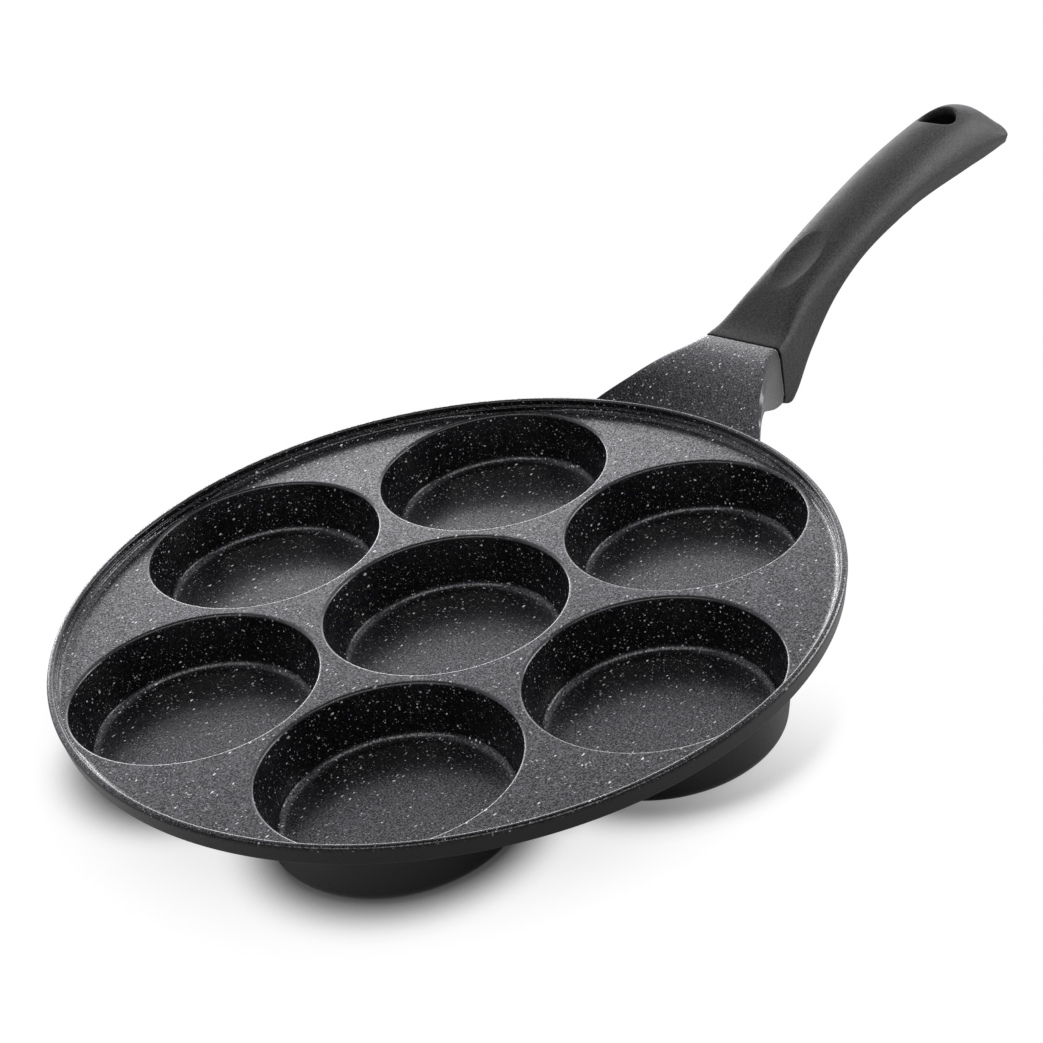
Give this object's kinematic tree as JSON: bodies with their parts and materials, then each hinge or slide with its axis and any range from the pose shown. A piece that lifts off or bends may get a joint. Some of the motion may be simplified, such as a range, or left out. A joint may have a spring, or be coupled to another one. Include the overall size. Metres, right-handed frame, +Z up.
{
  "type": "egg pan",
  "caption": "Round cast egg pan with shallow round cups set in a plate with a stepped rim, a flared stem and a curved moulded handle with a hanging hole.",
  "frame": {"origin": "middle of the centre cup's base, on the surface that the pan stands on", "axes": "+X along the handle, +Z up"},
  "size_m": [0.4828, 0.265, 0.0689],
  "materials": {
    "coated_casting": "satin grey non-stick coating with fine pale flecks",
    "phenolic": "matt, finely grained, dark grey",
    "plated_steel": "zinc plated"
  },
  "bodies": {
    "root": {"pan_body": "coated_casting", "handle_grip": "phenolic", "handle_screw": "plated_steel", "lock_washer": "plated_steel"}
  },
  "joints": []
}
